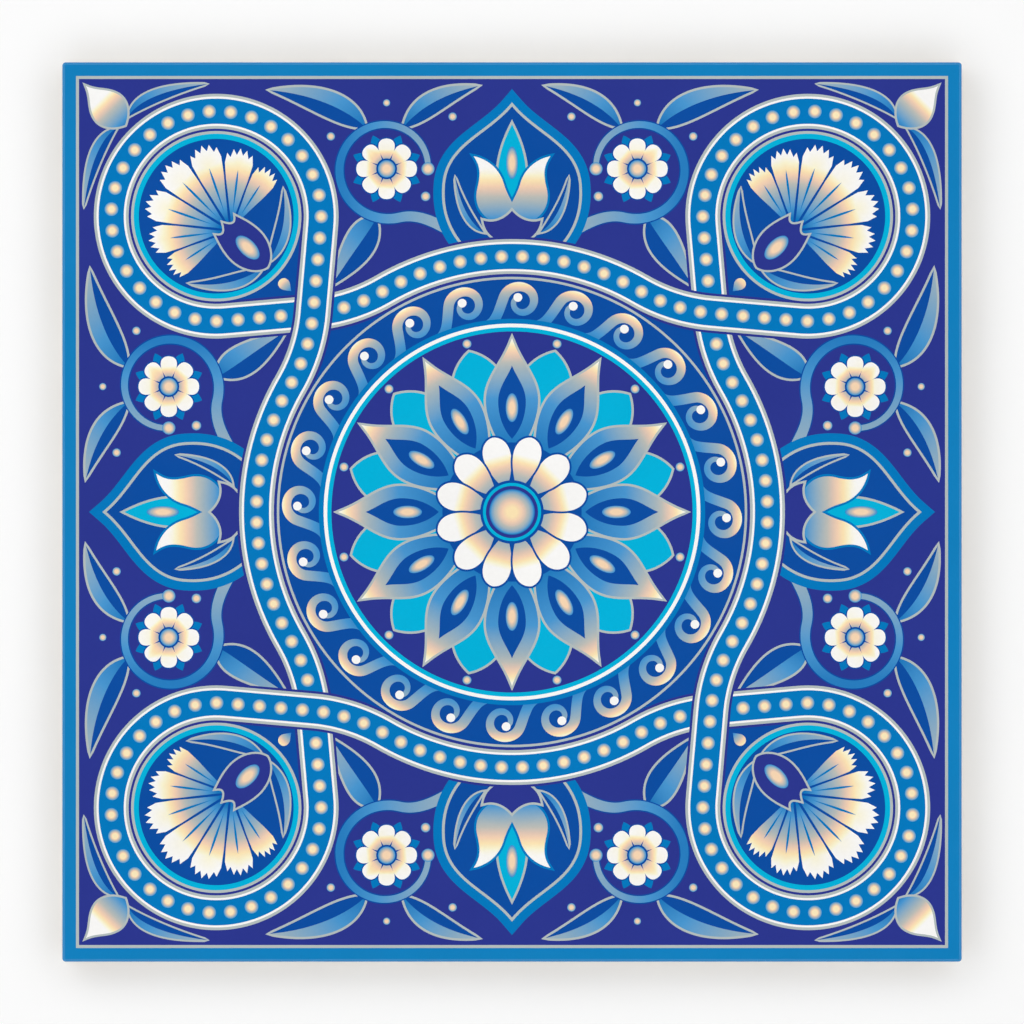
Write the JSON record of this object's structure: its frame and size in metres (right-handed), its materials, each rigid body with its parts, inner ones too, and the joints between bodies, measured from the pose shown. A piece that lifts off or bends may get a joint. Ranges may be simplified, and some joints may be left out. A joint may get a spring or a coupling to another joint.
{
  "type": "pool step marker tile",
  "caption": "Square glazed ceramic tile with a blue ribbon and flower ornament fired into its face, an eased arris and a ribbed back, bedded in a pool step to mark its edge.",
  "frame": {"origin": "middle of the back, on the plane of the ribs that the tile rests on", "axes": "+Z out of the glazed face, +X and +Y along the two sides"},
  "size_m": [0.15, 0.15, 0.008],
  "materials": {
    "printed_glaze": "glossy glaze with a blue ribbon and flower ornament fired in, on a pale unglazed body at the sides and back"
  },
  "bodies": {
    "root": {"step_marker_tile": "printed_glaze"}
  },
  "joints": []
}
